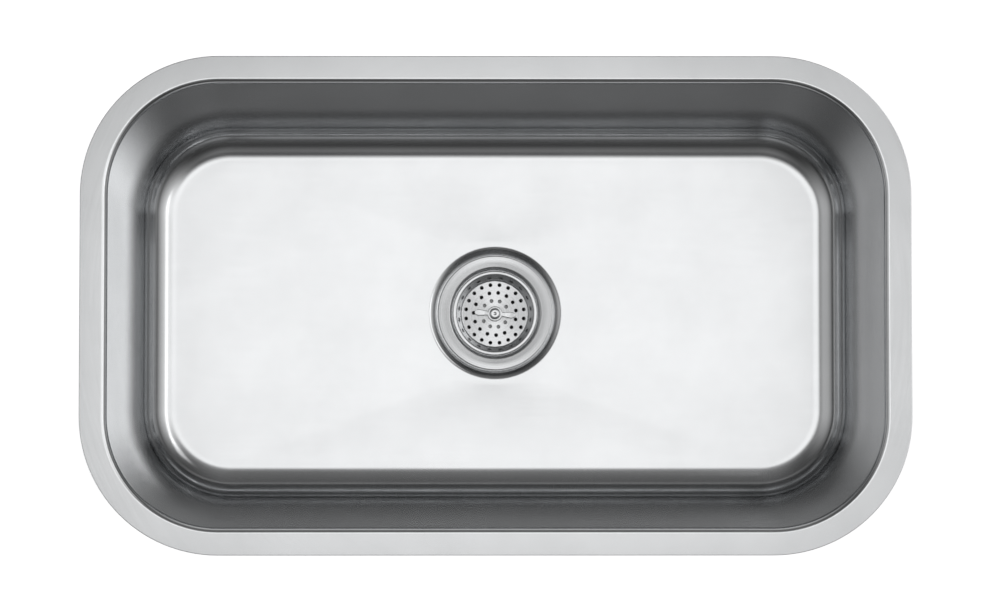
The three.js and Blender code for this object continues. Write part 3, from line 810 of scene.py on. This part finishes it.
thread("cup_thread", CUP, LEDGE - 2.2, LEDGE - 20, 1.8, 0.45)
thread("outlet_thread", NECK, NECK_TOP - 2, NECK_END + 0.6, 2.2, 0.28)

# %% [markdown]
# ## Crossbar
#
# Four arms across the outlet carry a small hub, and the basket's stem snaps into its
# bore. The arms are thin boxes with rounded edges, one for each quarter of a turn. They
# reach a little way into the hub and into the outlet's wall, so that no gap shows.

# %% The crossbar
HUB_TOP = NECK_TOP - 2.6
HUB_END = HUB_TOP - 5
HUB_BORE = 5.6
HUB = 8.2
ARM_WIDTH = 3.0
IN_HUB, IN_WALL = 1, 0.6


def crossbar():
    hub = [(HUB_BORE, HUB_END, 0.4), (HUB, HUB_END, 0.6)]
    hub += [(HUB, HUB_TOP, 0.9), (HUB_BORE, HUB_TOP, 0.9)]
    bm = turned(hub, 64)
    length = THROAT + IN_WALL - HUB + IN_HUB
    arm_top = HUB_TOP - 1
    size = Matrix.Diagonal((length, ARM_WIDTH, arm_top - HUB_END, 1))
    middle = (HUB - IN_HUB + length / 2, 0, (arm_top + HUB_END) / 2)
    place = Matrix.Translation(middle)
    for quarter in range(4):
        arm = bmesh.ops.create_cube(bm, size=1)["verts"]
        turn = Matrix.Rotation(quarter * math.pi / 2, 4, "Z")
        bmesh.ops.transform(bm, matrix=turn @ place @ size, verts=arm)
        rounded(bm, edges_of(arm), 0.6, "EDGES", 3)
    return bm


finished(crossbar(), "crossbar", "sink", "drain_body", "strainer_steel")

# %% [markdown]
# ## Seals, washers and nuts under the floor
#
# The strainer is clamped from below: a soft ring under its flange, a rubber gasket and a
# fibre ring under the steel, and a lock nut that is turned by its lugs.

# %% Soft rings
def ring_outline(node, bore, rounding):
    """Outline of a plain ring as wide and high as a node."""
    low, high = extent(node)
    return [
        (bore, low.z, rounding),
        (high.x, low.z, rounding),
        (high.x, high.z, rounding),
        (bore, high.z, rounding),
    ]


def plain_ring(name, body, node, slot, bore, rounding, steps=TURN_STEPS):
    return turned_piece(name, body, node, slot, ring_outline(node, bore, rounding), steps)


FOAM_BORE = 46.3
TAIL_BORE = 18.3
plain_ring("flange_foam", "sink", "flange_seal", "black_rubber", FOAM_BORE, 0.3)
plain_ring("rubber_gasket", "sink", "sink_gasket", "black_rubber", HOLE, 0.6)
plain_ring("fibre_ring", "sink", "friction_ring", "fibre", HOLE, 0.15)
plain_ring("tail_washer", "sink", "outlet_washer", "washer_plastic", TAIL_BORE, 0.4)

# %% [markdown]
# A nut's outline is not round, so it is not spun. It is lofted like the bowl: circles of
# points are pushed out where a lug or a rib stands, and bridged from one to the next.


# %% Lofting a lobed ring
LOBE_STEPS = 240


def lobed_ring(bm, reach, z, steps=LOBE_STEPS):
    """A level ring whose radius is a function of the angle."""
    place = Matrix.Translation((0, 0, z))
    circle = bmesh.ops.create_circle(bm, segments=steps, radius=1, matrix=place)
    for v in circle["verts"]:
        r = reach(math.atan2(v.co.y, v.co.x))
        v.co.x *= r
        v.co.y *= r
    return edges_of(circle["verts"])


def lofted(sections, steps=LOBE_STEPS):
    """A closed solid through (reach, level) rings; the last one joins the first."""
    bm = bmesh.new()
    rings = [
        lobed_ring(bm, reach if callable(reach) else (lambda a, r=reach: r), z, steps)
        for reach, z in sections
    ]
    bridged(bm, rings + rings[:1])
    bmesh.ops.recalc_face_normals(bm, faces=bm.faces)
    return bm


def off_nearest(angle, count):
    """How far an angle is off the nearest of so many evenly spaced ones."""
    pitch = 2 * math.pi / count
    return abs((angle + pitch / 2) % pitch - pitch / 2)


def lobes(count, body, reach, width):
    """Radius at an angle: a body with soft-sided lobes, each so many degrees wide."""
    half = math.radians(width) / 2

    def radius(angle):
        off = off_nearest(angle, count)
        side = min(max((1.25 * half - off) / (0.4 * half), 0), 1)
        return body + reach * side * side * (3 - 2 * side)

    return radius


# %% The lock nut
NUT_BORE = 42.1
NUT_BODY = 52.6
NUT_LUG = 56.6
LUGS = 6


def lock_nut():
    lug = NUT_LUG - NUT_BODY
    lugs = lobes(LUGS, NUT_BODY, lug, 17)
    inset = lobes(LUGS, NUT_BODY - 0.6, lug, 16)
    under_flange = lobes(LUGS, NUT_BODY + 0.8, lug - 0.8, 20)
    low, high = (corner.z for corner in extent("lock_nut"))
    return lofted(
        [
            (NUT_BORE, low + 0.8),
            (NUT_BORE + 0.8, low),
            (inset, low),
            (lugs, low + 0.6),
            (lugs, high - 2.9),
            (under_flange, high - 2.4),
            (NUT_LUG, high - 2.3),
            (NUT_LUG, high - 0.5),
            (NUT_LUG - 0.5, high),
            (NUT_BORE + 0.8, high),
            (NUT_BORE, high - 0.8),
        ]
    )


finished(lock_nut(), "strainer_nut", "sink", "lock_nut", "plated_nut")

# %% The coupling nut
SLIP_BORE = 24.1
SLIP_BODY = 28.7
SLIP_RIB = 30.5
SLIP_MOUTH = 19.6
RIBS = 8


def coupling_nut():
    low, high = (corner.z for corner in extent("coupling_nut"))
    ribs = lobes(RIBS, SLIP_BODY, SLIP_RIB - SLIP_BODY, 18)
    return lofted(
        [
            (SLIP_MOUTH, low + 0.4),
            (SLIP_MOUTH + 0.4, low),
            (SLIP_BODY - 0.8, low),
            (SLIP_BODY, low + 0.8),
            (SLIP_BODY, low + 1.4),
            (ribs, low + 2.0),
            (ribs, high - 2.0),
            (SLIP_BODY, high - 1.4),
            (SLIP_BODY, high - 0.6),
            (SLIP_BODY - 0.6, high),
            (SLIP_BORE + 0.6, high),
            (SLIP_BORE, high - 0.6),
            (SLIP_BORE, low + 2.4),
            (SLIP_MOUTH, low + 2.4),
        ]
    )


finished(coupling_nut(), "slip_nut", "sink", "coupling_nut", "brass")

# %% [markdown]
# ## The stopper
#
# A thick rubber disc closes the drain when the basket is pushed home. It has a thin,
# flexible lip and a hollow underside, and a steel plate backs it. The plate is never
# polished, so it gets a duller steel than the rest of the strainer.

# %% Rubber and plate
stop_low, stop_high = extent("rubber_stopper")
STEM_BORE = 4.3
turned_piece(
    "stopper_rubber",
    "stopper",
    "rubber_stopper",
    "black_rubber",
    [
        (STEM_BORE, stop_low.z + 0.5, 0.1),
        (STOPPER - 7, stop_low.z + 0.5, 0.6),
        (STOPPER - 4, stop_low.z, 0.5),
        (STOPPER, stop_low.z, 0.4),
        (STOPPER + 0.8, stop_low.z + 1.9, 0.7),
        (STOPPER - 0.6, stop_low.z + 3.2, 0.5),
        (STOPPER - 2, stop_high.z, 0.8),
        (STEM_BORE, stop_high.z, 0.1),
    ],
)
plate = plain_ring(
    "backing_plate", "stopper", "stopper_plate", "strainer_steel", STEM_BORE, 0.4
)
dull_steel = turned_metal("dull_steel", "strainer_steel", 0.5, 500, 0.004, 0.04)
plate.data.materials[0] = dull_steel

# %% [markdown]
# ## The basket
#
# The basket is pressed from thin sheet: a rolled rim that rests on the cup's ledge, a
# wall that draws in, and a floor punched with three rings of holes. The wall is turned,
# and its steel is a little smoother than the floor's, because the press has stretched
# it. The floor is a flat curve with the holes drawn as circles inside it, because a
# curve fills round its holes by itself, and its bevel rounds every punched edge.

# %% Sizes of the basket
basket_low, basket_high = extent("basket")
BASKET_RIM = basket_high.x
BASKET_MOUTH = 38.2
BASKET_FLOOR = 34.0
BASKET_SHEET = 0.8
RIM_LEVEL = -233.7
FLOOR_UNDER = basket_low.z
FLOOR_TOP = FLOOR_UNDER + BASKET_SHEET
HOLE_RADIUS = 1.75
# Radius of each ring, its number of holes, and the angle of the first in degrees.
HOLE_ROWS = ((29.3, 20, 9), (21.35, 15, 9.2), (13.4, 10, 33))

basket_wall = turned_piece(
    "basket_wall",
    "basket",
    "basket",
    "strainer_steel",
    [
        (BASKET_FLOOR - 1.2, FLOOR_UNDER, 0.2),
        (BASKET_FLOOR + 0.4, FLOOR_UNDER, 1.6),
        (BASKET_MOUTH + BASKET_SHEET, RIM_LEVEL, 0.6),
        (BASKET_RIM, RIM_LEVEL, 0.3),
        (BASKET_RIM, basket_high.z, 0.9),
        (BASKET_MOUTH, basket_high.z, 1.0),
        (BASKET_FLOOR, FLOOR_TOP, 1.0),
        (BASKET_FLOOR - 1.2, FLOOR_TOP, 0.2),
    ],
)


# %% The punched floor
def circle_on(curve, x, y, radius):
    """Adds a closed circle to a curve, as four Bezier points."""
    spline = curve.splines.new("BEZIER")
    spline.bezier_points.add(3)
    spline.use_cyclic_u = True
    handle = radius * 4 / 3 * math.tan(math.pi / 8)
    for k, point in enumerate(spline.bezier_points):
        turn = k * math.pi / 2
        out = Vector((math.cos(turn), math.sin(turn), 0))
        side = Vector((-math.sin(turn), math.cos(turn), 0))
        point.co = Vector((x, y, 0)) + radius * out
        point.handle_left = point.co - handle * side
        point.handle_right = point.co + handle * side
        point.handle_left_type = point.handle_right_type = "FREE"


def flat_plate(name, thick, rounding, resolution):
    """An empty flat curve with a thickness and rounded edges, centred on z = 0."""
    curve = bpy.data.curves.new(name, "CURVE")
    curve.dimensions = "2D"
    curve.fill_mode = "BOTH"
    curve.extrude = thick / 2 - rounding
    curve.bevel_depth = rounding
    curve.offset = -rounding
    curve.bevel_resolution = 2
    curve.resolution_u = resolution
    return curve


def mesh_of(curve):
    """The curve as a clean bmesh."""
    holder = bpy.data.objects.new(curve.name, curve)
    bpy.context.scene.collection.objects.link(holder)
    graph = bpy.context.evaluated_depsgraph_get()
    mesh = bpy.data.meshes.new_from_object(holder.evaluated_get(graph))
    bm = bmesh.new()
    bm.from_mesh(mesh)
    bpy.data.objects.remove(holder)
    bpy.data.curves.remove(curve)
    bmesh.ops.remove_doubles(bm, verts=bm.verts, dist=1e-4)
    bmesh.ops.recalc_face_normals(bm, faces=bm.faces)
    return bm


def punched_floor():
    plate = flat_plate("basket_floor", BASKET_SHEET, 0.25, 6)
    circle_on(plate, 0, 0, BASKET_FLOOR - 0.9)
    circle_on(plate, 0, 0, STEM_BORE)
    for ring, count, first in HOLE_ROWS:
        for k in range(count):
            turn = math.radians(first + 360 * k / count)
            circle_on(plate, ring * math.cos(turn), ring * math.sin(turn), HOLE_RADIUS)
    bm = mesh_of(plate)
    bmesh.ops.translate(bm, verts=bm.verts, vec=(0, 0, (FLOOR_TOP + FLOOR_UNDER) / 2))
    return bm


finished(punched_floor(), "basket_floor", "basket", "basket", "strainer_steel", 10)
pressed_steel = turned_metal("pressed_steel", "strainer_steel", 0.2, 700, 0.002)
basket_wall.data.materials[0] = pressed_steel

# %% [markdown]
# ## Stem, lift bar and knob
#
# The stem stands on the basket's floor and carries a winged strip that a finger gets
# under, and a small round knob above it. The strip is another flat curve; planes cut it
# across many times, so that it can be bent into a wave.

# %% The stem and its knob
STEM = 4.0
STEM_TIP = 3.2
COLLAR = 6.0
KNOB = 5.0
stem_low, stem_high = extent("basket_stem")
knob_low, knob_high = extent("lift_knob")
nut_bottom, nut_top = extent("stem_nut")

turned_piece(
    "stem",
    "basket",
    "basket_stem",
    "bright_steel",
    [
        (0, stem_low.z),
        (STEM_TIP, stem_low.z, 1.0),
        (STEM_TIP, nut_bottom.z - 1.0, 0.2),
        (STEM, nut_bottom.z - 0.5, 0.2),
        (STEM, FLOOR_TOP + 0.3, 0.1),
        (COLLAR, FLOOR_TOP + 0.3, 0.3),
        (COLLAR, FLOOR_TOP + 5.3, 0.6),
        (STEM, FLOOR_TOP + 5.3, 0.2),
        (STEM, stem_high.z, 0.3),
        (0, stem_high.z),
    ],
    48,
)
turned_piece(
    "knob",
    "basket",
    "lift_knob",
    "bright_steel",
    [
        (STEM_BORE, knob_low.z, 0.1),
        (knob_high.x, knob_low.z, 0.4),
        (KNOB, knob_low.z + 2.4, 0.9),
        (KNOB, knob_high.z, 1.3),
        (1.4, knob_high.z - 0.02, 0.5),
        (0.7, knob_high.z - 0.3, 0.3),
        (0, knob_high.z - 0.35),
        (0, knob_high.z - 2.0),
        (STEM_BORE, knob_high.z - 2.0, 0.2),
    ],
    64,
)

# %% The lift bar
BAR_HALF = 20.5
BAR_WIDTH = 5.6
BAR_THICK = 1.2
BAR_WAVE = 0.25
BAR_TURN = math.radians(-5)
BAR_HUB = 7.5
BAR_CUTS = 48
BAR_LEVEL = FLOOR_TOP + 5.6


def wing_outline(curve):
    """Adds the strip's outline: a narrow waist at the hub and a round end to each wing."""
    wide, narrow = BAR_WIDTH / 2, 0.36 * BAR_WIDTH
    waist, shoulder = 0.36 * BAR_HALF, 0.62 * BAR_HALF
    tip = BAR_HALF - wide
    quarter = [(waist, narrow), (shoulder, 0.92 * wide), (tip, wide), (BAR_HALF, 0)]
    right = quarter + [(x, -y) for x, y in reversed(quarter[:-1])]
    left = [(-x, -y) for x, y in right]
    points = right + left
    spline = curve.splines.new("BEZIER")
    spline.bezier_points.add(len(points) - 1)
    spline.use_cyclic_u = True
    for point, (x, y) in zip(spline.bezier_points, points):
        point.co = (x, y, 0)
        point.handle_left_type = point.handle_right_type = "AUTO"


def lift_bar():
    strip = flat_plate("lift_strip", BAR_THICK, 0.45, 12)
    wing_outline(strip)
    bm = mesh_of(strip)
    for k in range(1, BAR_CUTS):
        sliced(bm, (BAR_HALF * (2 * k / BAR_CUTS - 1), 0, 0), X)
    for v in bm.verts:
        out = max(abs(v.co.x) - BAR_HUB, 0) / (BAR_HALF - BAR_HUB)
        v.co.z += BAR_LEVEL + BAR_THICK / 2 - BAR_WAVE * math.sin(1.3 * math.pi * out)
    bmesh.ops.rotate(bm, verts=bm.verts, matrix=Matrix.Rotation(BAR_TURN, 3, "Z"))
    return bm


finished(lift_bar(), "winged_strip", "basket", "lift_bar", "bright_steel", 10)
turned_piece(
    "strip_hub",
    "basket",
    "lift_bar",
    "bright_steel",
    [
        (STEM_BORE, BAR_LEVEL, 0.1),
        (BAR_HUB, BAR_LEVEL, 0.4),
        (BAR_HUB, BAR_LEVEL + BAR_THICK + 0.1, 0.6),
        (STEM_BORE, BAR_LEVEL + BAR_THICK + 0.1, 0.1),
    ],
    64,
)

# %% What is stacked under the basket
plain_ring("spacer", "basket", "stem_spacer", "bright_steel", STEM_BORE, 0.3, 64)
plain_ring("washer", "basket", "stem_washer", "bright_steel", STEM_BORE, 0.2, 64)


NUT_ACROSS = 13.2
NUT_FACE = 5.6  # radius of the turned chamfer at each end


def hexagon(across):
    """Radius at an angle of a hexagon, from its distance across corners."""
    flat = across / 2 * math.cos(math.pi / 6)
    return lambda angle: flat / math.cos(off_nearest(angle, 6))


def capped(reach, limit):
    """The same outline, cut off by a turned chamfer."""
    return lambda angle: min(reach(angle), limit)


def stem_nut():
    hexed = hexagon(NUT_ACROSS)
    face = capped(hexed, NUT_FACE)
    low, high = nut_bottom.z, nut_top.z
    return lofted(
        [
            (STEM_BORE, low + 0.3),
            (STEM_BORE + 0.3, low),
            (face, low),
            (hexed, low + 0.5),
            (hexed, high - 0.5),
            (face, high),
            (STEM_BORE + 0.3, high),
            (STEM_BORE, high - 0.3),
        ],
        96,
    )


finished(stem_nut(), "hex_nut", "basket", "stem_nut", "brass")

# %% The spring catch
CATCH_BORE = 3.5
CATCH_END = 4.1
CATCH_BELLY = 4.7
SLITS = 6
SLIT_FOOT = 3.75
SLIT_HALF = math.radians(9)


def fingers(outside):
    """Radius at an angle of a barrel that slits split into fingers."""
    return lambda angle: (
        outside if off_nearest(angle, SLITS) > SLIT_HALF else SLIT_FOOT
    )


def spring_catch():
    """A barrel with a waist at each end, split into fingers."""
    low, high = (corner.z for corner in extent("snap_catch"))
    return lofted(
        [
            (CATCH_BORE, low),
            (CATCH_END, low),
            (fingers(CATCH_BELLY - 0.2), low + 0.9),
            (fingers(CATCH_BELLY), (low + high) / 2),
            (fingers(CATCH_BELLY - 0.2), high - 0.7),
            (fingers(CATCH_END), high),
            (CATCH_BORE, high),
        ],
        180,
    )


finished(spring_catch(), "catch", "basket", "snap_catch", "bright_steel")

# %% [markdown]
# ## Table, room and lamps
#
# Steel shows what is around it, so the studio is as much of its finish as the grain. The
# table is white. The room has four walls, each a ramp of greys from level with the sink
# to overhead; the dark parts of a ramp draw the dark bands on the bends, and the pale
# parts draw the light ones. A softbox hangs over the bowl, and a brighter one high above
# it fills the floor with light but not the leaning walls. Two windows stand to the
# right. No two lamps hang at the same height: where two overlap in one plane, a
# mirror-like surface would show only one of them. The walls and the ceiling of the room
# are added up, and a wall fades out where the ceiling begins.

# %% The table
TABLE_RADIUS = 30.0
TABLE_GAP = 0.001
TABLE_SEEN = 0.85
TABLE_MIRRORED = 0.45
table_bm = bmesh.new()
bmesh.ops.create_circle(table_bm, cap_ends=True, segments=96, radius=TABLE_RADIUS)
table_mesh = bpy.data.meshes.new("table")
lowest = min(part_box(n)[0].z for n in frame["nodes"])
table_bm.transform(Matrix.Translation((0, 0, lowest - TABLE_GAP)))
table_bm.to_mesh(table_mesh)
table_bm.free()
table = bpy.data.objects.new("table", table_mesh)
bpy.context.scene.collection.objects.link(table)


def table_white():
    """White paint that also glows a little, in the camera's eyes and in mirrors."""
    paint = Finish("table_white", (0.9, 0.9, 0.9), 0.0, 0.9)
    rays = paint.add("ShaderNodeLightPath").outputs
    seen = paint.maths("MULTIPLY", rays["Is Camera Ray"], TABLE_SEEN)
    mirrored = paint.maths("MAXIMUM", rays["Is Glossy Ray"], rays["Is Transmission Ray"])
    mirrored = paint.maths("MULTIPLY", mirrored, TABLE_MIRRORED)
    paint.shader.inputs["Emission Color"].default_value = (1, 1, 1, 1)
    paint.drive("Emission Strength", paint.maths("MAXIMUM", seen, mirrored))
    return paint.material


table_mesh.materials.append(table_white())

# %% The room
# How bright each wall of the room is, from level with the sink (0) to overhead (1).
RIGHT_WALL = (
    (0, 0.5), (0.18, 0.35), (0.28, 0.1), (0.4, 0.4), (0.74, 1), (0.85, 1), (0.89, 0.1)
)
BACK_WALL = (
    (0.1, 0.65), (0.18, 0.2), (0.28, 0.45), (0.4, 0.1), (0.67, 0.15), (0.83, 0.2)
)
LEFT_WALL = (
    (0, 0.1), (0.18, 0.6), (0.28, 0), (0.4, 0.3), (0.52, 0.45), (0.72, 0.5), (0.85, 0.15)
)
FRONT_WALL = ((0.1, 0.55), (0.18, 0.1), (0.52, 0.05), (0.72, 0.2), (0.8, 0.1))
ROOM = ((X, RIGHT_WALL), (Y, BACK_WALL), (-X, LEFT_WALL), (-Y, FRONT_WALL))
CEILING = 0.62
CEILING_EDGE = 0.92
CEILING_FADE = 0.07
WALL_FOCUS = 5.0  # how fast a wall fades towards its neighbours
studio = bpy.data.worlds.new("studio")
bpy.context.scene.world = studio
studio.use_nodes = True
room = NodeTree(studio.node_tree)
looking = room.add("ShaderNodeTexCoord").outputs["Generated"]
height = room.maths("ARCSINE", room.vectors("DOT_PRODUCT", looking, Z))
height = room.maths("DIVIDE", height, math.pi / 2)
level = room.vectors("NORMALIZE", room.vectors("MULTIPLY", looking, (1, 1, 0)))
light = room.ranged(height, 0.0, CEILING, CEILING_EDGE - CEILING_FADE, CEILING_EDGE)
for side, stops in ROOM:
    facing = room.maths("MAXIMUM", room.vectors("DOT_PRODUCT", level, side), 0.0)
    ramp = room.add("ShaderNodeValToRGB", Fac=height)
    stops += ((CEILING_EDGE, 0),)
    greys = ramp.color_ramp.elements
    while len(greys) < len(stops):
        greys.new(0.5)
    for element, (place, grey) in zip(greys, stops):
        element.position = place
        element.color = (grey, grey, grey, 1)
    focused = room.maths("POWER", facing, WALL_FOCUS)
    share = room.maths("MULTIPLY", focused, ramp.outputs[0])
    light = room.maths("ADD", share, light)
room.links.new(light, room.nodes["Background"].inputs["Color"])

# %% The lamps
# Name, place, width, length, and how bright a mirror shows it, where 1 is white.
LAMPS = (
    ("softbox", (0.05, 0.15, 3.5), 2.2, 1.6, 0.08),
    ("high_softbox", (-0.08, 0.23, 7.0), 2.6, 1.5, 0.5),
    ("window", (1.5, 0.45, 3.3), 0.6, 1.6, 0.9),
    ("back_window", (1.3, 1.3, 3.2), 1.0, 1.0, 0.6),
)
for name, place, width, length, glow in LAMPS:
    lamp = bpy.data.lights.new(name, "AREA")
    lamp.shape = "RECTANGLE"
    lamp.size = width
    lamp.size_y = length
    lamp.energy = glow * math.pi * width * length
    holder = bpy.data.objects.new(name, lamp)
    holder.location = place
    bpy.context.scene.collection.objects.link(holder)

# %% [markdown]
# ## Camera
#
# The sink was photographed almost straight from above with a long lens, a couple of
# degrees from the front. The camera aims a few millimetres off the bowl's middle, which
# puts the sink where it lies in the picture.

# %% The camera
LENS = 102.4
EYE = Vector((-0.011, -0.091, 2.598))
AIM = Vector((0.0032, 0.0018, 0))

camera_data = bpy.data.cameras.new("camera")
camera_data.lens = LENS
camera_data.sensor_width = 36
camera = bpy.data.objects.new("camera", camera_data)
bpy.context.scene.collection.objects.link(camera)
back = (EYE - AIM).normalized()
right = Y.cross(back).normalized()
turn = Matrix((right, back.cross(right), back)).transposed()
camera.matrix_world = Matrix.Translation(EYE) @ turn.to_4x4()
bpy.context.scene.camera = camera
bpy.context.scene.view_settings.view_transform = "Standard"
